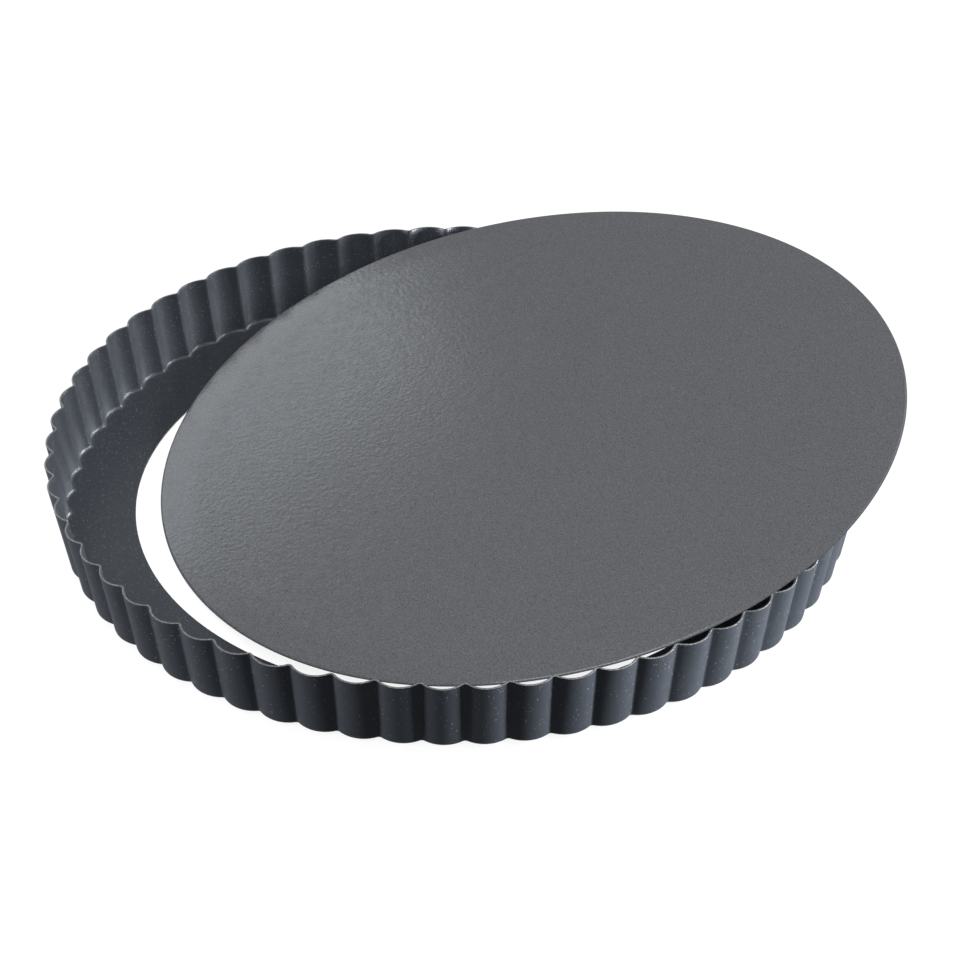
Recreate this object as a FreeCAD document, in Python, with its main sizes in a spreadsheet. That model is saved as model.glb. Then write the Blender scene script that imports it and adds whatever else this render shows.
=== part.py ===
import FreeCAD, Part
import Sketcher

import math
import os

# Loose-bottomed tart pan, in millimetres, +Z up.
# The origin is on the ring's axis, on the surface that the ring's ledge rests on.
# Two pressed sheet-steel pieces: a fluted ring with a flat ledge turned in at its foot,
# and a round base that drops on the ledge. The base is shown as it is set aside while the
# pan is empty: its low edge stands in the ring's opening and its underside leans on the rim.

DRIVING = [
    # alias, value, what it is
    ("rim_diameter", 300.0, "ring across the flute crests at the rim, outside"),
    ("rim_flute_depth", 2.7, "crest to notch at the rim"),
    ("foot_diameter", 290.6, "ring across the crests, wall run down to the ledge's underside"),
    ("foot_flute_depth", 2.2, "crest to notch at the foot"),
    ("wall_height", 28.3, "underside of the ledge to the rim at the crests"),
    ("notch_rise", 0.4, "how much higher the rim stands at a notch than at a crest"),
    ("flute_count", 62, "flutes around the ring"),
    ("first_notch", 4.03, "bearing of one notch from +X, degrees"),
    ("notch_radius", 1.1, "outside radius of the fold at a notch, at the rim"),
    ("ring_sheet", 0.7, "sheet thickness of the ring"),
    ("fold_radius", 2.4, "outside radius of the fold between wall and ledge"),
    ("opening_diameter", 237.0, "round opening that the ledge leaves"),
    ("base_diameter", 279.0, "loose base across its turned-down edge"),
    ("base_sheet", 0.8, "sheet thickness of the base"),
    ("base_edge_depth", 1.6, "depth of the base's turned-down edge, plate included"),
    ("base_shoulder", 1.0, "outside radius where the base's plate turns down"),
    ("base_shift_x", 27.5, "leaning base: centre of its lower edge from the axis, along X"),
    ("base_shift_y", 5.5, "leaning base: centre of its lower edge from the axis, along Y"),
    ("lean_angle", 10.92, "leaning base: tilt from level, degrees"),
    ("lean_bearing", 195.6, "bearing of the leaning base's low point from its centre, degrees"),
]


def make_sheet(doc):
    """The spreadsheet that holds the driving dimensions."""
    sheet = doc.addObject("Spreadsheet::Sheet", "dims")
    for row, (alias, value, meaning) in enumerate(DRIVING, start=1):
        sheet.set("A%d" % row, meaning)
        sheet.set("B%d" % row, str(value))
        sheet.setAlias("B%d" % row, alias)
    doc.recompute()
    return sheet


class Outline:
    """One level of the fluted ring, seen from above: crest arcs joined by small notch arcs.

    crest and notch are the radii that the outline reaches at a crest and at a notch, and
    fold is the radius of the notch arc, whose centre lies outside the ring. The crest arc
    is tangent to the notch arcs on both sides of it.
    """

    def __init__(self, count, start, crest, notch, fold):
        self.count, self.start = count, start
        self.half = math.pi / count
        self.notch_centre = notch + fold
        self.notch_radius = fold
        across = self.notch_centre * math.cos(self.half)
        self.crest_radius = (
            self.notch_centre**2 + crest**2 - 2 * crest * across - fold**2
        ) / (2 * (crest - across + fold))
        self.crest_centre = crest - self.crest_radius

    def inside(self, gap):
        """The same outline moved inwards by gap, square to itself."""
        moved = Outline.__new__(Outline)
        moved.count, moved.start, moved.half = self.count, self.start, self.half
        moved.notch_centre, moved.crest_centre = self.notch_centre, self.crest_centre
        moved.notch_radius = self.notch_radius + gap
        moved.crest_radius = self.crest_radius - gap
        return moved

    def edges(self, low, high):
        """The outline's arcs with crests at height low and notches at height high."""
        notch = self.notch_centre - self.notch_radius
        crest = self.crest_centre + self.crest_radius
        # unit vector from the notch centre to the crest centre, in the notch's own frame
        dx = self.crest_centre * math.cos(self.half) - self.notch_centre
        dy = self.crest_centre * math.sin(self.half)
        reach = math.hypot(dx, dy)
        tx = self.notch_centre + self.notch_radius * dx / reach
        ty = self.notch_radius * dy / reach
        turn = math.atan2(ty, tx)
        joint = math.hypot(tx, ty)
        # the height changes with the radius, so both arcs leave a joint at the same height
        share = (joint - notch) / (crest - notch)
        middle = high + (low - high) * share

        def spot(radius, angle, height):
            return FreeCAD.Vector(radius * math.cos(angle), radius * math.sin(angle), height)

        arcs = []
        for k in range(self.count):
            at = self.start + 2 * k * self.half
            end = at + 2 * self.half
            before = spot(joint, at - turn, middle)
            after = spot(joint, at + turn, middle)
            following = spot(joint, end - turn, middle)
            arcs.append(Part.Arc(before, spot(notch, at, high), after).toShape())
            arcs.append(Part.Arc(after, spot(crest, at + self.half, low), following).toShape())
        return arcs


def strip(lower, upper):
    """Ruled faces between two levels of the outline."""
    return [Part.makeRuledSurface(a, b) for a, b in zip(lower, upper)]


def ledge_face(arcs, opening, height):
    """The flat ring between the opening and one level of the outline."""
    hole = Part.Wire(Part.makeCircle(opening, FreeCAD.Vector(0, 0, height)))
    return Part.makeFace([Part.Wire(arcs), hole], "Part::FaceMakerBullseye")


def fluted_ring_shape(sheet):
    """The ring as one solid, sewn from its faces."""
    height, gauge = float(sheet.wall_height), float(sheet.ring_sheet)
    opening = float(sheet.opening_diameter) / 2
    count, start = int(sheet.flute_count), math.radians(float(sheet.first_notch))
    fold = float(sheet.fold_radius)
    rim, foot = float(sheet.rim_diameter) / 2, float(sheet.foot_diameter) / 2
    rim_depth, foot_depth = float(sheet.rim_flute_depth), float(sheet.foot_flute_depth)
    notch_fold = float(sheet.notch_radius)
    draft = math.atan((rim - foot) / height)

    def outside(level):
        """Outside of the wall at a height, as if it ran straight down to the surface."""
        share = level / height
        crest = foot + (rim - foot) * share
        depth = foot_depth + (rim_depth - foot_depth) * share
        return Outline(count, start, crest, crest - depth, notch_fold)

    # the fold between wall and ledge: angle 0 points down, and it ends square to the wall
    end = math.pi / 2 - draft
    tangent = fold * math.tan(end / 2)
    steps = [end * share for share in (0.0, 0.34, 0.67, 1.0)]

    def fold_levels(radius):
        levels = []
        for angle in steps:
            level = fold - radius * math.cos(angle)
            # distance in from the wall line that meets the surface at the foot outline
            inward = tangent - radius * math.sin(angle)
            levels.append((outside(0.0).inside(inward), level))
        return levels

    outer = [o.edges(z, z) for o, z in fold_levels(fold)]
    inner = [o.edges(z, z) for o, z in fold_levels(fold - gauge)]
    rim_outline = outside(height)
    rise = float(sheet.notch_rise)
    outer.append(rim_outline.edges(height, height + rise))
    inner.append(rim_outline.inside(gauge).edges(height, height + rise))

    faces = [ledge_face(outer[0], opening, 0.0), ledge_face(inner[0], opening, gauge)]
    for levels in (outer, inner):
        for lower, upper in zip(levels, levels[1:]):
            faces += strip(lower, upper)
    faces += strip(outer[-1], inner[-1])
    bore = Part.makeCylinder(opening, gauge)
    faces += [f for f in bore.Faces if isinstance(f.Surface, Part.Cylinder)]
    sewn = Part.Compound(faces)
    sewn.sewShape()
    solid = Part.Solid(sewn.Shells[0])
    if solid.Volume < 0:
        solid.reverse()
    return solid


def make_fluted_ring(doc, sheet):
    """Fluted ring: a pressed surface that no sketch-based feature makes."""
    ring = doc.addObject("Part::Feature", "fluted_ring")
    ring.Label = "fluted_ring"
    ring.Shape = fluted_ring_shape(sheet)
    ring.Placement = FreeCAD.Placement()
    return ring


def make_loose_base(doc):
    """Loose base: a plate with its edge turned down, revolved from a half section."""
    body = doc.addObject("PartDesign::Body", "loose_base")
    body.Label = "loose_base"
    sketch = body.newObject("Sketcher::SketchObject", "base_section")
    planes = {feature.Role: feature for feature in body.Origin.OriginFeatures}
    sketch.AttachmentSupport = [(planes["XZ_Plane"], "")]
    sketch.MapMode = "FlatFace"

    # start values only: the constraints below hold the section
    reach, deep, thick, round_out, round_in = 139.3, 1.6, 0.8, 1.0, 0.2
    vector = FreeCAD.Vector
    corner_out = vector(reach - round_out, deep - round_out, 0)
    corner_in = vector(reach - thick - round_in, deep - thick - round_in, 0)
    up = vector(0, 0, 1)
    lines = [
        (vector(0, deep, 0), vector(corner_out.x, deep, 0)),
        (vector(reach, corner_out.y, 0), vector(reach, 0, 0)),
        (vector(reach, 0, 0), vector(reach - thick, 0, 0)),
        (vector(reach - thick, 0, 0), vector(reach - thick, corner_in.y, 0)),
        (vector(corner_in.x, deep - thick, 0), vector(0, deep - thick, 0)),
        (vector(0, deep - thick, 0), vector(0, deep, 0)),
    ]
    for first, last in lines:
        sketch.addGeometry(Part.LineSegment(first, last), False)
    top, wall, lip, wall_in, under, axis = range(6)
    quarter = math.pi / 2
    outer_arc = sketch.addGeometry(
        Part.ArcOfCircle(Part.Circle(corner_out, up, round_out), 0, quarter), False
    )
    inner_arc = sketch.addGeometry(
        Part.ArcOfCircle(Part.Circle(corner_in, up, round_in), 0, quarter), False
    )
    return body, sketch, (top, wall, lip, wall_in, under, axis, outer_arc, inner_arc)


def constrain_base(sketch, parts):
    """Ties the base's section together and binds it to the spreadsheet."""
    top, wall, lip, wall_in, under, axis, outer_arc, inner_arc = parts
    tie = Sketcher.Constraint
    sketch.addConstraint(
        [
            tie("Tangent", outer_arc, 2, top, 2),
            tie("Tangent", outer_arc, 1, wall, 1),
            tie("Coincident", wall, 2, lip, 1),
            tie("Coincident", lip, 2, wall_in, 1),
            tie("Tangent", inner_arc, 1, wall_in, 2),
            tie("Tangent", inner_arc, 2, under, 1),
            tie("Coincident", under, 2, axis, 1),
            tie("Coincident", axis, 2, top, 1),
            tie("Horizontal", top),
            tie("Vertical", wall),
            tie("Horizontal", under),
            tie("Vertical", wall_in),
            tie("PointOnObject", wall, 2, -1),
            tie("PointOnObject", lip, 2, -1),
            tie("PointOnObject", top, 1, -2),
            tie("PointOnObject", under, 2, -2),
        ]
    )
    sizes = [
        ("base_reach", tie("DistanceX", -1, 1, wall, 2, 139.5), "dims.base_diameter / 2"),
        ("edge_depth", tie("DistanceY", -1, 1, top, 1, 1.6), "dims.base_edge_depth"),
        ("plate_gauge", tie("DistanceY", under, 2, top, 1, 0.8), "dims.base_sheet"),
        ("edge_gauge", tie("DistanceX", lip, 2, lip, 1, 0.8), "dims.base_sheet"),
        ("shoulder", tie("Radius", outer_arc, 1.0), "dims.base_shoulder"),
        ("shoulder_inside", tie("Radius", inner_arc, 0.2), "dims.base_shoulder - dims.base_sheet"),
    ]
    for name, constraint, formula in sizes:
        number = sketch.addConstraint(constraint)
        sketch.renameConstraint(number, name)
        sketch.setExpression("Constraints." + name, formula)


def revolve_base(body, sketch):
    """Turns the section about the ring's axis."""
    turned = body.newObject("PartDesign::Revolution", "base_plate")
    turned.Profile = sketch
    turned.ReferenceAxis = (sketch, ["V_Axis"])
    turned.Angle = 360
    body.Tip = turned


def lean_base(body, sheet):
    """Tilts the base about its low point, which stands on the surface."""
    tilt = float(sheet.lean_angle)
    bearing = math.radians(float(sheet.lean_bearing))
    radius = float(sheet.base_diameter) / 2
    # turning about this level axis takes the side at the bearing down
    hinge = FreeCAD.Vector(-math.sin(bearing), math.cos(bearing), 0)
    lift = radius * math.sin(math.radians(tilt))
    centre = FreeCAD.Vector(float(sheet.base_shift_x), float(sheet.base_shift_y), lift)
    body.Placement = FreeCAD.Placement(centre, FreeCAD.Rotation(hinge, tilt))


def check_and_write(doc, parts):
    """Stops on a failed object or a bad shape, then writes each piece's STEP file."""
    for item in doc.Objects:
        if {"Invalid", "Error"} & set(item.State):
            raise RuntimeError("%s failed: %s" % (item.Name, item.State))
    os.makedirs("parts", exist_ok=True)
    for part in parts:
        shape = part.Shape
        if shape.isNull() or not shape.isValid():
            raise RuntimeError("%s has no valid shape" % part.Label)
        shape.exportStep("parts/%s.step" % part.Label)
        box = shape.BoundBox
        print(
            "%s: %d solid, %.1f mm3, x %.2f..%.2f y %.2f..%.2f z %.2f..%.2f"
            % (part.Label, len(shape.Solids), shape.Volume, box.XMin, box.XMax,
               box.YMin, box.YMax, box.ZMin, box.ZMax)
        )


def main():
    doc = FreeCAD.newDocument("tart_pan")
    sheet = make_sheet(doc)
    ring = make_fluted_ring(doc, sheet)
    base, section, section_parts = make_loose_base(doc)
    constrain_base(section, section_parts)
    revolve_base(base, section)
    lean_base(base, sheet)
    doc.recompute()
    check_and_write(doc, [ring, base])


main()
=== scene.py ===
import math
from typing import NamedTuple

import bmesh
import bpy
from bpy.props import FloatProperty, FloatVectorProperty, IntProperty, PointerProperty
from bpy.types import Operator, Panel, PropertyGroup
from mathutils import Matrix, Vector


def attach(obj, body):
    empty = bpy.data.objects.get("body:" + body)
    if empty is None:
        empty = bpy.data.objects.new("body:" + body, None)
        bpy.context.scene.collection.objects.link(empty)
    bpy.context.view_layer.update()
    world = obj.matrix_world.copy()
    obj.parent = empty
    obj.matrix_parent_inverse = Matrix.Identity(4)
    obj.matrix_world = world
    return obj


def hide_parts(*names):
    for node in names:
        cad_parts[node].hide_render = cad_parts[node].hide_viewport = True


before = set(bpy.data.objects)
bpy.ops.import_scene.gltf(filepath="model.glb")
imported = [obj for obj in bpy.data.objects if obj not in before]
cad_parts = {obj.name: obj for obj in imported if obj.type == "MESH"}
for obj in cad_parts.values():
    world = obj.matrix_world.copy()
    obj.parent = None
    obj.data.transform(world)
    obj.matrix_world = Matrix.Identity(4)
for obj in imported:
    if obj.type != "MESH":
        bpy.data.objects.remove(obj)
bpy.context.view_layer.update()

bl_info = {
    "name": "Tart pan",
    "version": (1, 0, 0),
    "blender": (4, 5, 0),
    "location": "3D View > Sidebar > Tart pan",
    "description": "Loose-bottomed fluted tart pan with its base set aside on the rim",
    "category": "Add Mesh",
}

MM = 0.001
RING_NODE = "fluted_ring"
BASE_NODE = "loose_base"
RING_PIECE = "ring_shell"
BASE_PIECE = "base_plate"


def millimetres(name, value, description):
    """A length property that is stated in millimetres and kept in metres."""
    return FloatProperty(name=name, default=value * MM, description=description,
                         unit="LENGTH", subtype="DISTANCE", precision=5)


def metres(name, value, description):
    """A length property in metres."""
    return FloatProperty(name=name, default=value, description=description,
                         unit="LENGTH", subtype="DISTANCE")


def degrees(name, value, description):
    """An angle property that is stated in degrees and kept in radians."""
    return FloatProperty(name=name, default=math.radians(value), description=description,
                         unit="ROTATION", subtype="ANGLE")


def colour(name, value, description):
    """A linear colour property."""
    return FloatVectorProperty(name=name, default=value, description=description,
                               subtype="COLOR", size=3, min=0.0, max=1.0)


def share(name, value, description):
    """A plain number between 0 and 1."""
    return FloatProperty(name=name, default=value, description=description,
                         subtype="FACTOR", min=0.0, max=1.0)


# ---------------------------------------------------------------------------
# Sizes and colours
# ---------------------------------------------------------------------------

class RingSizes(PropertyGroup):
    """Sizes of the fluted ring."""

    flutes: IntProperty(name="Flutes", default=62, min=3, description="Flutes around the ring")
    first_notch: degrees("First notch", 4.03, "Bearing of one notch from +X")
    rim: millimetres("Rim diameter", 300.0, "Across the crests at the rim, outside")
    rim_depth: millimetres("Rim flute depth", 2.7, "From crest to notch at the rim")
    foot: millimetres("Foot diameter", 290.6,
                      "Across the crests where the wall meets the surface")
    foot_depth: millimetres("Foot flute depth", 2.2, "From crest to notch at the foot")
    height: millimetres("Height", 28.3, "From the underside of the ledge to the rim at a crest")
    notch_rise: millimetres("Notch rise", 0.4, "How much higher the rim is at a notch")
    notch_round: millimetres("Notch radius", 1.1, "Outside radius of the fold at a notch")
    fold: millimetres("Foot radius", 2.4, "Outside radius of the fold between wall and ledge")
    opening: millimetres("Opening", 237.0, "Diameter of the round opening in the ledge")
    sheet: millimetres("Sheet", 0.7, "Thickness of the sheet")
    cut_round: millimetres("Cut edge radius", 0.14, "Rounding left on the cut edges")


class BaseSizes(PropertyGroup):
    """Sizes of the loose base."""

    diameter: millimetres("Diameter", 279.0, "Across the turned-down edge")
    edge_depth: millimetres("Edge depth", 1.6, "Depth of the turned-down edge, plate included")
    shoulder: millimetres("Shoulder radius", 0.9, "Outside radius where the plate turns down")
    fall_width: millimetres("Fall width", 14.0,
                            "Width of the zone that falls away to the shoulder")
    fall: degrees("Fall", 3.3, "Slope of the plate where the shoulder starts")
    sheet: millimetres("Sheet", 0.8, "Thickness of the sheet")
    cut_round: millimetres("Cut edge radius", 0.14, "Rounding left on the cut edge")


class Finish(PropertyGroup):
    """Colours and gloss of the coatings and of the bare cut edges."""

    # painted shade: the ring's outside is given a darker colour than its inside, to stand for
    # shade on the outer walls
    outside_painted_shade_colour: colour("Ring outside", (0.0088, 0.0103, 0.013), "Backing coat of the ring")
    inside_colour: colour("Ring inside", (0.0243, 0.0275, 0.0334), "Non-stick coat of the ring")
    base_colour: colour("Base coating", (0.116, 0.1205, 0.1295), "Colour of the base's coating")
    fleck_colour: colour("Flecks", (0.20, 0.205, 0.21),
                         "Colour of the light flecks in the coatings")
    cut_colour: colour("Cut edge", (0.30, 0.30, 0.305), "Colour of the bare steel at a cut edge")
    ring_roughness: share("Ring roughness", 0.42, "Roughness of the ring's coatings")
    base_roughness: share("Base roughness", 0.14, "Roughness of the base's coating")


class StageSettings(PropertyGroup):
    """Camera, floor and even light."""

    distance: metres("Distance", 1.165, "From the camera to the ring's centre")
    elevation: degrees("Elevation", 35.42, "Camera above the surface")
    pan: degrees("Pan", 0.4675, "Camera turned to the right of the ring's centre")
    tilt: degrees("Tilt", 0.2908, "Camera turned up from the ring's centre")
    roll: degrees("Roll", -0.4978, "Camera rolled about its own line of sight")
    lens: FloatProperty(name="Lens", default=117.05, description="Focal length",
                        unit="CAMERA", min=1.0)
    floor_colour: colour("Floor", (0.85, 0.85, 0.85), "Colour of the floor")
    floor_light: FloatProperty(name="Floor light", default=3.1, min=0.0,
                               description="Brightness of the even light on the floor")
    surround: FloatProperty(name="Surround", default=0.3, min=0.0,
                            description="Brightness of the light from all round")


# ---------------------------------------------------------------------------
# Materials
# ---------------------------------------------------------------------------

# how fine the textures are, in cells per metre
CLOUD_CELLS = 30.0
SPECK_CELLS = 2200.0
FLECK_CELLS = 1300.0
GLOSS_CELLS = 260.0
PEEL_CELLS = 560.0
FINE_PEEL_CELLS = 2400.0
STEEL_CELLS = 2400.0

NOISE_RANGE = (0.3, 0.7)        # the part of the noise that is stretched over a whole range
STEEL_RANGE = (0.35, 0.65)
FLECK_CORE, FLECK_EDGE = 0.12, 0.30     # where a fleck starts to fade, and ends, in cells
GLOSS_BELOW, GLOSS_ABOVE = 0.04, 0.05   # how far the roughness wanders
FINE_PEEL = 0.15                # height of the fine orange peel, as a share of the coarse
COATING_SHEEN = (0.82, 0.91, 1.0)       # tint of the coatings' gloss
FAINT = 0.45                    # tone of a faint fleck, or of the dull marks in cut steel
STEEL_ROUGHNESS = (0.28, 0.5)
STEEL_METALLIC = 0.8
STEEL_MARK_HEIGHT = 0.03 * MM
FLOOR_ROUGHNESS = 0.9
FLOOR_SPECULAR = 0.1


def scaled(tint, factor):
    """A colour made lighter or darker."""
    return tuple(factor * channel for channel in tint)


class Nodes:
    """A material's node tree with short calls to add and feed nodes."""

    def __init__(self, name):
        self.material = bpy.data.materials.new(name)
        self.material.use_nodes = True
        self.tree = self.material.node_tree
        self.shader = next(n for n in self.tree.nodes if n.type == "BSDF_PRINCIPLED")
        self.place = self.add("ShaderNodeTexCoord").outputs["Object"]

    def add(self, kind, **values):
        """A new node of this kind, with its settings."""
        node = self.tree.nodes.new(kind)
        for name, value in values.items():
            setattr(node, name, value)
        return node

    def feed(self, socket, source):
        """Joins another node's output to the socket, or sets it to a colour or a number."""
        if isinstance(source, bpy.types.NodeSocket):
            self.tree.links.new(source, socket)
        elif socket.type == "RGBA":
            socket.default_value = (*source, 1.0)
        else:
            socket.default_value = source

    def feed_all(self, node, **sources):
        """Feeds the node's inputs by name, with _ for a space."""
        for name, source in sources.items():
            self.feed(node.inputs[name.replace("_", " ")], source)

    def noise(self, cells, detail=2.0):
        """Noise over the piece, as a value about 0.5."""
        node = self.add("ShaderNodeTexNoise")
        self.feed_all(node, Vector=self.place, Scale=cells, Detail=detail)
        return node.outputs["Fac"]

    def span(self, value, old, new):
        """The value's old range stretched to a new range, and held at its ends."""
        node = self.add("ShaderNodeMapRange", clamp=True)
        self.feed_all(node, Value=value, From_Min=old[0], From_Max=old[1],
                      To_Min=new[0], To_Max=new[1])
        return node.outputs["Result"]

    def times(self, first, second):
        """Two values multiplied."""
        node = self.add("ShaderNodeMath", operation="MULTIPLY")
        self.feed(node.inputs[0], first)
        self.feed(node.inputs[1], second)
        return node.outputs["Value"]

    def blend(self, amount, first, second):
        """Two colours blended."""
        node = self.add("ShaderNodeMix", data_type="RGBA", blend_type="MIX")
        self.feed(node.inputs["Factor"], amount)
        colours = [socket for socket in node.inputs if socket.type == "RGBA"]
        self.feed(colours[0], first)
        self.feed(colours[1], second)
        return next(socket for socket in node.outputs if socket.type == "RGBA")

    def bump(self, height, distance, under=None):
        """A bump of the given height in metres, on top of another bump's normal."""
        node = self.add("ShaderNodeBump")
        self.feed_all(node, Strength=1.0, Distance=distance, Height=height)
        if under is not None:
            self.feed(node.inputs["Normal"], under)
        return node.outputs["Normal"]

    def flecks(self, fleck_share):
        """Small round flecks in a share of the cells, as a value from 0 to 1."""
        cells = self.add("ShaderNodeTexVoronoi", feature="F1")
        self.feed_all(cells, Vector=self.place, Scale=FLECK_CELLS)
        near = self.span(cells.outputs["Distance"], (FLECK_CORE, FLECK_EDGE), (1.0, 0.0))
        split = self.add("ShaderNodeSeparateColor")
        self.feed(split.inputs["Color"], cells.outputs["Color"])
        chosen = self.span(split.outputs["Red"], (1.0 - fleck_share, 1.0), (0.0, 1.0))
        return self.times(near, chosen)


def coating(name, tint, fleck_tint, roughness, *, ior, fleck_share, peel, mottle, grain):
    """Sprayed non-stick coating: satin, with an orange-peel surface and small light flecks.

    peel is the height of the orange peel in metres. mottle and grain are how far the tone
    strays over wide patches and from speck to speck.
    """
    made = Nodes(name)
    cloud = made.span(made.noise(CLOUD_CELLS), NOISE_RANGE, (0.0, 1.0))
    speck = made.span(made.noise(SPECK_CELLS), NOISE_RANGE, (0.0, 1.0))
    mottled = made.blend(cloud, scaled(tint, 1.0 - mottle), scaled(tint, 1.0 + mottle))
    grained = made.blend(speck, scaled(tint, 1.0 - grain), scaled(tint, 1.0 + grain))
    body = made.blend(0.5, mottled, grained)
    gloss = made.span(made.noise(GLOSS_CELLS), NOISE_RANGE,
                      (roughness - GLOSS_BELOW, roughness + GLOSS_ABOVE))
    coarse = made.bump(made.noise(PEEL_CELLS, detail=1.0), peel)
    fine = made.bump(made.noise(FINE_PEEL_CELLS, detail=1.0), FINE_PEEL * peel, under=coarse)
    made.feed_all(made.shader, Base_Color=made.blend(made.flecks(fleck_share), body, fleck_tint),
                  Roughness=gloss, Normal=fine, IOR=ior, Specular_Tint=COATING_SHEEN)
    return made.material


def outside_coating(finish):
    """Coat on the outside of the fluted ring, darker than the inside as painted shade on the
    outer walls.
    """
    return coating("outside_coating", finish.outside_painted_shade_colour, scaled(finish.fleck_colour, FAINT),
                   finish.ring_roughness, ior=1.23, fleck_share=0.15, peel=0.03 * MM,
                   mottle=0.16, grain=0.3)


def inside_coating(finish):
    """Non-stick coat on the inside of the fluted ring and on its ledge."""
    return coating("inside_coating", finish.inside_colour, finish.fleck_colour,
                   finish.ring_roughness, ior=1.45, fleck_share=0.40, peel=0.03 * MM,
                   mottle=0.06, grain=0.5)


def base_coating(finish):
    """Coating of the loose base, smoother than the ring's."""
    return coating("base_coating", finish.base_colour, finish.fleck_colour,
                   finish.base_roughness, ior=1.5, fleck_share=0.10, peel=0.05 * MM,
                   mottle=0.025, grain=0.75)


def cut_steel(finish):
    """Bare sheared steel at a cut edge, with fine marks."""
    made = Nodes("cut_steel")
    marks = made.noise(STEEL_CELLS)
    dull = scaled(finish.cut_colour, FAINT)
    tone = made.blend(made.span(marks, STEEL_RANGE, (0.0, 1.0)), dull, finish.cut_colour)
    made.feed_all(made.shader, Base_Color=tone, Metallic=STEEL_METALLIC,
                  Roughness=made.span(marks, NOISE_RANGE, STEEL_ROUGHNESS),
                  Normal=made.bump(marks, STEEL_MARK_HEIGHT))
    return made.material


def floor_paint(tint):
    """Plain matt floor."""
    made = Nodes("floor_paint")
    made.feed_all(made.shader, Base_Color=tint, Roughness=FLOOR_ROUGHNESS,
                  Specular_IOR_Level=FLOOR_SPECULAR)
    return made.material


# ---------------------------------------------------------------------------
# Modelling helpers
# ---------------------------------------------------------------------------

ORIGIN = (0.0, 0.0, 0.0)
SMOOTH_ANGLE = math.radians(42.0)       # faces that meet at less than this are shaded smooth
CUT_ANGLE = math.radians(50.0)          # edges sharper than this are cut edges
CUT_STEPS = 2


def edit():
    """Enters edit mode on the active piece."""
    bpy.ops.object.mode_set(mode="EDIT")


def leave_edit():
    """Returns to object mode."""
    bpy.ops.object.mode_set(mode="OBJECT")


def selected_points(piece):
    """The edit mesh and its selected vertices."""
    mesh = bmesh.from_edit_mesh(piece.data)
    return mesh, [point for point in mesh.verts if point.select]


def select_points(piece, mesh, points):
    """Selects these vertices and nothing else."""
    for part in (*mesh.verts, *mesh.edges, *mesh.faces):
        part.select = False
    for point in points:
        point.select = True
    mesh.select_flush_mode()
    bmesh.update_edit_mesh(piece.data)


def extrude_loop(rise):
    """Extrudes the selected loop and moves the new one up."""
    bpy.ops.mesh.extrude_edges_move(TRANSFORM_OT_translate={"value": (0.0, 0.0, rise)})


def start_circle(name, points, radius, height, fill="NOTHING"):
    """A new circle about the Z axis, in edit mode and ready to shape."""
    bpy.ops.object.select_all(action="DESELECT")
    bpy.ops.mesh.primitive_circle_add(vertices=points, radius=radius, fill_type=fill,
                                      location=ORIGIN)
    piece = bpy.context.object
    piece.name = name
    piece.data.name = name
    edit()
    bpy.ops.transform.translate(value=(0.0, 0.0, height))
    return piece


def apply_modifier(piece, kind, name, **settings):
    """Adds a modifier, sets it and applies it."""
    modifier = piece.modifiers.new(name, kind)
    for key, value in settings.items():
        setattr(modifier, key, value)
    bpy.ops.object.modifier_apply(modifier=name)


def give_sheet(piece, sizes, inside=0, cut=0):
    """Thickens the piece inwards and rounds its cut edges; inside and cut are material steps."""
    apply_modifier(piece, "SOLIDIFY", "sheet", thickness=sizes.sheet, offset=-1.0,
                   use_even_offset=True, material_offset=inside, material_offset_rim=cut)
    apply_modifier(piece, "BEVEL", "cut_edges", width=sizes.cut_round, segments=CUT_STEPS,
                   limit_method="ANGLE", angle_limit=CUT_ANGLE)


def finish_piece(piece, body, node):
    """Smooth shading, and the piece's place in the frame."""
    bpy.ops.object.shade_smooth_by_angle(angle=SMOOTH_ANGLE)
    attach(piece, body)
    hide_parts(node)


# ---------------------------------------------------------------------------
# Fluted ring
# ---------------------------------------------------------------------------

CREST_STEPS = 6                         # from the end of a notch's arc to the crest
FOLD_STEPS = 6
WALL_LEVELS = (0.36, 0.68, 0.96, 1.0)   # shares of the height that have a loop
LEDGE_MARGIN_INSIDE = 1.5 * MM          # from the opening to the first loop on the ledge
LEDGE_MARGIN_OUTSIDE = 2.0 * MM         # from the last loop on the ledge to the fold
HALF_PITCH_SLACK = 1e-6                 # so that rounding doesn't decide which side of a notch


class Outline:
    """One level of the ring from above: crest arcs joined by small notch arcs.

    half is half a flute's angle. A station is an angle from the middle of a notch.
    """

    def __init__(self, half, crest, notch, fold):
        self.half = half
        self.notch_centre = notch + fold
        self.notch_round = fold
        across = self.notch_centre * math.cos(half)
        self.crest_round = (
            self.notch_centre**2 + crest**2 - 2 * crest * across - fold**2
        ) / (2 * (crest - across + fold))
        self.crest_centre = crest - self.crest_round

    def joint(self, gap=0.0):
        """Station where the notch arc meets the crest arc, once moved inwards by gap."""
        dx = self.crest_centre * math.cos(self.half) - self.notch_centre
        dy = self.crest_centre * math.sin(self.half)
        reach = math.hypot(dx, dy)
        grown = self.notch_round + gap
        return math.atan2(grown * dy / reach, self.notch_centre + grown * dx / reach)

    def radius(self, station, gap=0.0):
        """Radius of the outline, moved inwards by gap, at a station."""
        angle = abs(station)
        if angle < self.joint(gap):
            offset = self.notch_centre * math.sin(angle)
            along = self.notch_centre * math.cos(angle)
            return along - math.sqrt((self.notch_round + gap)**2 - offset**2)
        offset = self.crest_centre * math.sin(self.half - angle)
        along = self.crest_centre * math.cos(self.half - angle)
        return along + math.sqrt((self.crest_round - gap)**2 - offset**2)


class Level(NamedTuple):
    """A loop of the wall or the fold: its height, its outline and how far in it is moved."""

    height: float
    outline: Outline
    gap: float

    def radii(self, stations):
        """The loop's radius at each station."""
        return [self.outline.radius(station, self.gap) for station in stations]


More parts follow.
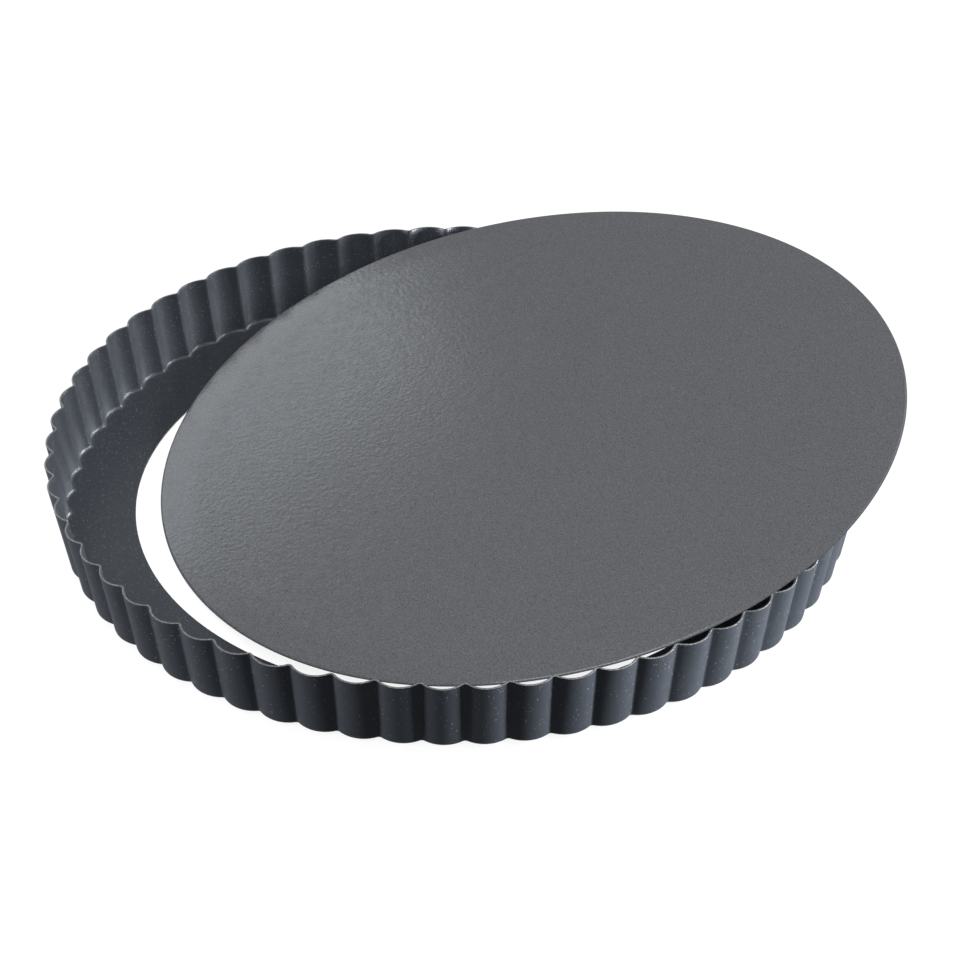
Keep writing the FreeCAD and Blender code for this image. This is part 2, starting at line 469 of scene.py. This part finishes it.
def ring_outline(sizes, height):
    """Outside of the wall at a height, as if it ran straight down to the surface."""
    up = height / sizes.height
    crest = 0.5 * (sizes.foot + (sizes.rim - sizes.foot) * up)
    depth = sizes.foot_depth + (sizes.rim_depth - sizes.foot_depth) * up
    return Outline(math.pi / sizes.flutes, crest, crest - depth, sizes.notch_round)


def ring_stations(sizes):
    """Angles from the middle of a notch where the flute has a vertex: close at the notch."""
    half = math.pi / sizes.flutes
    joint = ring_outline(sizes, sizes.height).joint()
    side = [0.5 * joint, joint]
    side += [joint + (half - joint) * step / CREST_STEPS for step in range(1, CREST_STEPS)]
    return [0.0, *side, half, *[-angle for angle in reversed(side)]]


def ring_levels(sizes):
    """Levels from the flat ledge up the fold and the wall."""
    draft = math.atan(0.5 * (sizes.rim - sizes.foot) / sizes.height)
    turn = 0.5 * math.pi - draft
    tangent = sizes.fold * math.tan(0.5 * turn)
    foot = ring_outline(sizes, 0.0)
    levels = []
    for step in range(FOLD_STEPS + 1):
        angle = turn * step / FOLD_STEPS
        height = sizes.fold * (1.0 - math.cos(angle))
        levels.append(Level(height, foot, tangent - sizes.fold * math.sin(angle)))
    for up in WALL_LEVELS:
        height = sizes.height * up
        levels.append(Level(height, ring_outline(sizes, height), 0.0))
    return levels


def rim_rises(sizes, outline, stations):
    """How much the rim is higher at each station than at a crest."""
    crest, notch = outline.radius(outline.half), outline.radius(0.0)
    return [sizes.notch_rise * (crest - outline.radius(station)) / (crest - notch)
            for station in stations]


def mark_stations(piece, sizes, stations):
    """Turns the circle's vertices to their stations and notes which one each is at."""
    bmesh.from_edit_mesh(piece.data).verts.layers.int.new("station")
    mesh, points = selected_points(piece)
    layer = mesh.verts.layers.int["station"]
    count = len(stations)
    pitch = 2.0 * math.pi / sizes.flutes
    groups = [[] for _ in stations]
    for point in points:
        bearing = math.atan2(point.co.y, point.co.x)
        number = round(bearing / pitch * count) % count
        point[layer] = number
        groups[number].append(point.index)
    for number, station in enumerate(stations):
        mesh = bmesh.from_edit_mesh(piece.data)
        mesh.verts.ensure_lookup_table()
        select_points(piece, mesh, [mesh.verts[index] for index in groups[number]])
        even = pitch * number / count
        if even > 0.5 * pitch + HALF_PITCH_SLACK:
            even -= pitch
        bpy.ops.transform.rotate(value=-(sizes.first_notch + station - even), orient_axis="Z",
                                 center_override=ORIGIN)
    bpy.ops.mesh.select_all(action="SELECT")


def shape_loop(piece, radii, rises=None):
    """Brings the selected loop to its radius, and up by its rise, at each station."""
    mesh, points = selected_points(piece)
    layer = mesh.verts.layers.int["station"]
    groups = {}
    for point in points:
        groups.setdefault(point[layer], []).append(point)
    for number, group in sorted(groups.items()):
        for point in points:
            point.select = False
        for point in group:
            point.select = True
        bmesh.update_edit_mesh(piece.data, loop_triangles=False, destructive=False)
        factor = radii[number] / math.hypot(group[0].co.x, group[0].co.y)
        bpy.ops.transform.resize(value=(factor, factor, 1.0), center_override=ORIGIN)
        if rises is not None:
            bpy.ops.transform.translate(value=(0.0, 0.0, rises[number]))
    for point in points:
        point.select = True
    mesh.select_flush_mode()
    bmesh.update_edit_mesh(piece.data)


def model_ring(sizes):
    """The outside of the ring, drawn up level by level from the opening."""
    stations = ring_stations(sizes)
    opening = 0.5 * sizes.opening
    piece = start_circle(RING_PIECE, sizes.flutes * len(stations), opening, 0.0)
    mark_stations(piece, sizes, stations)

    levels = ring_levels(sizes)
    ledge_end = levels[0].outline.radius(0.0, levels[0].gap)
    for radius in (opening + LEDGE_MARGIN_INSIDE, ledge_end - LEDGE_MARGIN_OUTSIDE):
        extrude_loop(0.0)
        shape_loop(piece, [radius] * len(stations))
    below = 0.0
    for level in levels[:-1]:
        extrude_loop(level.height - below)
        below = level.height
        shape_loop(piece, level.radii(stations))
    rim = levels[-1]
    extrude_loop(rim.height - below)
    shape_loop(piece, rim.radii(stations), rim_rises(sizes, rim.outline, stations))
    leave_edit()
    piece.data.attributes.remove(piece.data.attributes["station"])
    return piece


def face_down(piece):
    """Turns the normals so that the ledge faces the surface and the wall faces out."""
    ledge = min(piece.data.polygons, key=lambda face: face.center.z)
    if ledge.normal.z > 0.0:
        edit()
        bpy.ops.mesh.select_all(action="SELECT")
        bpy.ops.mesh.flip_normals()
        leave_edit()


class TARTPAN_OT_fluted_ring(Operator):
    """Models the fluted ring with its ledge and cut rim"""

    bl_idname = "tartpan.fluted_ring"
    bl_label = "Fluted ring"

    def execute(self, context):
        sizes = context.scene.tart_pan_ring
        finish = context.scene.tart_pan_finish
        piece = model_ring(sizes)
        face_down(piece)
        for material in (outside_coating(finish), inside_coating(finish), cut_steel(finish)):
            piece.data.materials.append(material)
        give_sheet(piece, sizes, inside=1, cut=2)
        finish_piece(piece, "ring", RING_NODE)
        return {"FINISHED"}


# ---------------------------------------------------------------------------
# Loose base
# ---------------------------------------------------------------------------

BASE_POINTS = 240
SHOULDER_STEPS = 7
FALL_STEPS = 10
FALL_FADE = 2.2                         # the slope fades over the zone's last 1 / FALL_FADE
PLATE_INSETS = (2.0 * MM, 30.0 * MM, 45.0 * MM)
FACES_UP = 0.5                          # a face whose normal rises more than this faces up


def base_seat():
    """Where the base lies, read from its node: a matrix with +Z square to the plate."""
    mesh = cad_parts[BASE_NODE].data
    upward = [face for face in mesh.polygons if face.normal.z > FACES_UP]
    up = max(upward, key=lambda face: face.area).normal.normalized()
    turn = up.to_track_quat("Z", "Y").to_matrix()
    local = [turn.transposed() @ point.co for point in mesh.vertices]
    low = [min(point[axis] for point in local) for axis in range(3)]
    high = [max(point[axis] for point in local) for axis in range(2)]
    centre = Vector((0.5 * (low[0] + high[0]), 0.5 * (low[1] + high[1]), low[2]))
    return Matrix.Translation(turn @ centre) @ turn.to_4x4()


def plate_rises(sizes):
    """How much the plate rises over each step inwards from the shoulder."""
    full = sizes.fall_width / FALL_STEPS * math.tan(sizes.fall)
    inwards = [(step + 0.5) / FALL_STEPS for step in range(FALL_STEPS)]
    return [full * min(1.0, FALL_FADE * (1.0 - done)) for done in inwards]


def model_base(sizes):
    """The plate with its shoulder and turned-down edge, level and about its own centre."""
    rises = plate_rises(sizes)
    edge_depth = sizes.edge_depth - sum(rises)
    piece = start_circle(BASE_PIECE, BASE_POINTS, 0.5 * sizes.diameter, edge_depth, fill="NGON")
    bpy.ops.mesh.select_all(action="SELECT")
    bpy.ops.mesh.region_to_loop()
    extrude_loop(-edge_depth)

    mesh = bmesh.from_edit_mesh(piece.data)
    corner = [point for point in mesh.verts if point.co.z > 0.5 * edge_depth]
    select_points(piece, mesh, corner)
    bpy.ops.mesh.select_mode(type="EDGE")
    bpy.ops.mesh.bevel(offset=sizes.shoulder, segments=SHOULDER_STEPS, affect="EDGES")

    # rings inside the shoulder: the plate rises over the first ones and is flat from there on
    mesh = bmesh.from_edit_mesh(piece.data)
    bpy.ops.mesh.select_mode(type="FACE")
    bpy.ops.mesh.select_all(action="DESELECT")
    max(mesh.faces, key=lambda face: face.calc_area()).select = True
    bmesh.update_edit_mesh(piece.data)
    for rise in rises:
        bpy.ops.mesh.inset(thickness=sizes.fall_width / FALL_STEPS)
        bpy.ops.transform.translate(value=(0.0, 0.0, rise))
    for inset in PLATE_INSETS:
        bpy.ops.mesh.inset(thickness=inset)
    bpy.ops.mesh.poke()
    leave_edit()
    return piece


class TARTPAN_OT_loose_base(Operator):
    """Models the loose base with its shoulder and turned-down edge"""

    bl_idname = "tartpan.loose_base"
    bl_label = "Loose base"

    def execute(self, context):
        sizes = context.scene.tart_pan_base
        piece = model_base(sizes)
        piece.data.materials.append(base_coating(context.scene.tart_pan_finish))
        give_sheet(piece, sizes)
        piece.matrix_world = base_seat()
        bpy.ops.object.transform_apply(location=True, rotation=True, scale=True)
        finish_piece(piece, "base", BASE_NODE)
        return {"FINISHED"}


# ---------------------------------------------------------------------------
# Stage
# ---------------------------------------------------------------------------

FLOOR_SIZE = 14.0
FLOOR_LEVEL = -0.2 * MM
FLOOR_LAMP_HEIGHT = 2.0
AIM = Vector((0.0, 0.0, 0.02))          # what the soft lights face
SENSOR_WIDTH = 36.0
CAMERA_REACH = 50.0
WHITE = (1.0, 1.0, 1.0, 1.0)


class Softbox(NamedTuple):
    """A flat soft light on the pan: angles in degrees, lengths in metres, power in watts.

    The bearing is from +X, towards +Y. The light falls on these pieces only.
    """

    name: str
    bearing: float
    elevation: float
    away: float
    width: float
    height: float
    power: float
    pieces: tuple

    def place(self):
        """Where the light stands."""
        bearing, elevation = math.radians(self.bearing), math.radians(self.elevation)
        level = self.away * math.cos(elevation)
        return Vector((level * math.cos(bearing), level * math.sin(bearing),
                       self.away * math.sin(elevation)))


BOTH = (RING_PIECE, BASE_PIECE)
RING_ONLY = (RING_PIECE,)
SOFTBOXES = (
    Softbox("front_box", 270.0, 56.0, 2.2, 1.8, 1.8, 42.0, BOTH),
    Softbox("back_left_box", 119.0, 29.5, 2.0, 0.85, 0.5, 2.2, BOTH),
    Softbox("right_window", 22.0, 27.0, 1.8, 1.8, 0.8, 6.0, BOTH),
    Softbox("right_lamp", 16.0, 18.0, 1.6, 0.6, 0.4, 58.0, RING_ONLY),
    Softbox("right_strip", 350.0, 0.9, 1.6, 0.35, 0.06, 300.0, RING_ONLY),
    Softbox("left_strip", 189.0, 2.0, 1.6, 0.35, 0.08, 100.0, RING_ONLY),
)


def add_floor(tint):
    """A wide plain floor under the ring, which lights nothing and isn't reflected."""
    bpy.ops.object.select_all(action="DESELECT")
    bpy.ops.mesh.primitive_plane_add(size=FLOOR_SIZE, location=(0.0, 0.0, FLOOR_LEVEL))
    floor = bpy.context.object
    floor.name = "floor"
    floor.data.materials.append(floor_paint(tint))
    floor.visible_diffuse = False
    floor.visible_glossy = False
    return floor


def light_only(lamp, *pieces):
    """Keeps a lamp's light to these objects."""
    group = bpy.data.collections.new(lamp.name + "_lights")
    for piece in pieces:
        group.objects.link(piece)
    lamp.light_linking.receiver_collection = group


def add_floor_wash(floor, strength):
    """Even light from straight above that only the floor takes, so that it stays pale."""
    bpy.ops.object.light_add(type="SUN", location=(0.0, 0.0, FLOOR_LAMP_HEIGHT))
    lamp = bpy.context.object
    lamp.name = "floor_wash"
    lamp.data.energy = strength
    lamp.data.use_shadow = False
    light_only(lamp, floor)


def add_softbox(box):
    """A soft light that faces the pan."""
    place = box.place()
    bpy.ops.object.light_add(type="AREA", location=place)
    lamp = bpy.context.object
    lamp.name = box.name
    lamp.data.shape = "RECTANGLE"
    lamp.data.size = box.width
    lamp.data.size_y = box.height
    lamp.data.energy = box.power
    lamp.rotation_euler = (AIM - place).to_track_quat("-Z", "Y").to_euler()
    light_only(lamp, *[bpy.data.objects[name] for name in box.pieces])


def add_surround(context, strength):
    """Plain white light from all round."""
    world = bpy.data.worlds.new("studio")
    world.use_nodes = True
    background = world.node_tree.nodes["Background"]
    background.inputs["Color"].default_value = WHITE
    background.inputs["Strength"].default_value = strength
    context.scene.world = world


def turned(first, second, angle):
    """Two square axes, both turned by an angle from the first towards the second."""
    return (first * math.cos(angle) + second * math.sin(angle),
            second * math.cos(angle) - first * math.sin(angle))


def add_camera(context, stage):
    """The camera, aimed a little to one side of the ring's centre."""
    level, up = math.cos(stage.elevation), math.sin(stage.elevation)
    place = Vector((0.0, -stage.distance * level, stage.distance * up))
    right, ahead, top = Vector((1, 0, 0)), Vector((0, level, -up)), Vector((0, up, level))
    ahead, right = turned(ahead, right, stage.pan)
    ahead, top = turned(ahead, top, stage.tilt)
    right, top = turned(right, top, stage.roll)
    bpy.ops.object.camera_add(location=place)
    camera = bpy.context.object
    camera.name = "camera"
    turn = Matrix((right, top, -ahead)).transposed()
    camera.matrix_world = Matrix.Translation(place) @ turn.to_4x4()
    camera.data.sensor_width = SENSOR_WIDTH
    camera.data.lens = stage.lens
    camera.data.clip_end = CAMERA_REACH
    context.scene.camera = camera


class TARTPAN_OT_stage(Operator):
    """Sets the camera, the floor and the soft lights"""

    bl_idname = "tartpan.stage"
    bl_label = "Stage"

    def execute(self, context):
        stage = context.scene.tart_pan_stage
        add_camera(context, stage)
        floor = add_floor(stage.floor_colour)
        add_floor_wash(floor, stage.floor_light)
        add_surround(context, stage.surround)
        for box in SOFTBOXES:
            add_softbox(box)
        context.scene.view_settings.view_transform = "Standard"
        return {"FINISHED"}


# ---------------------------------------------------------------------------
# Panel, registration and run
# ---------------------------------------------------------------------------

class TARTPAN_PT_panel(Panel):
    """The tart pan's pieces and sizes"""

    bl_idname = "TARTPAN_PT_panel"
    bl_label = "Tart pan"
    bl_space_type = "VIEW_3D"
    bl_region_type = "UI"
    bl_category = "Tart pan"

    def draw(self, context):
        for operator in OPERATORS:
            self.layout.operator(operator.bl_idname)
        for name, group in GROUPS:
            box = self.layout.box()
            for setting in group.__annotations__:
                box.prop(getattr(context.scene, name), setting)


GROUPS = (
    ("tart_pan_ring", RingSizes),
    ("tart_pan_base", BaseSizes),
    ("tart_pan_finish", Finish),
    ("tart_pan_stage", StageSettings),
)
OPERATORS = (TARTPAN_OT_fluted_ring, TARTPAN_OT_loose_base, TARTPAN_OT_stage)


def register():
    """Adds the settings, the operators and the panel to Blender."""
    for name, group in GROUPS:
        bpy.utils.register_class(group)
        setattr(bpy.types.Scene, name, PointerProperty(type=group))
    for cls in (*OPERATORS, TARTPAN_PT_panel):
        bpy.utils.register_class(cls)


def unregister():
    """Takes the settings, the operators and the panel away again."""
    for cls in (TARTPAN_PT_panel, *reversed(OPERATORS)):
        bpy.utils.unregister_class(cls)
    for name, group in reversed(GROUPS):
        delattr(bpy.types.Scene, name)
        bpy.utils.unregister_class(group)


def main():
    """Builds the pan and its stage."""
    register()
    bpy.ops.tartpan.fluted_ring()
    bpy.ops.tartpan.loose_base()
    bpy.ops.tartpan.stage()


if __name__ == "__main__":
    main()
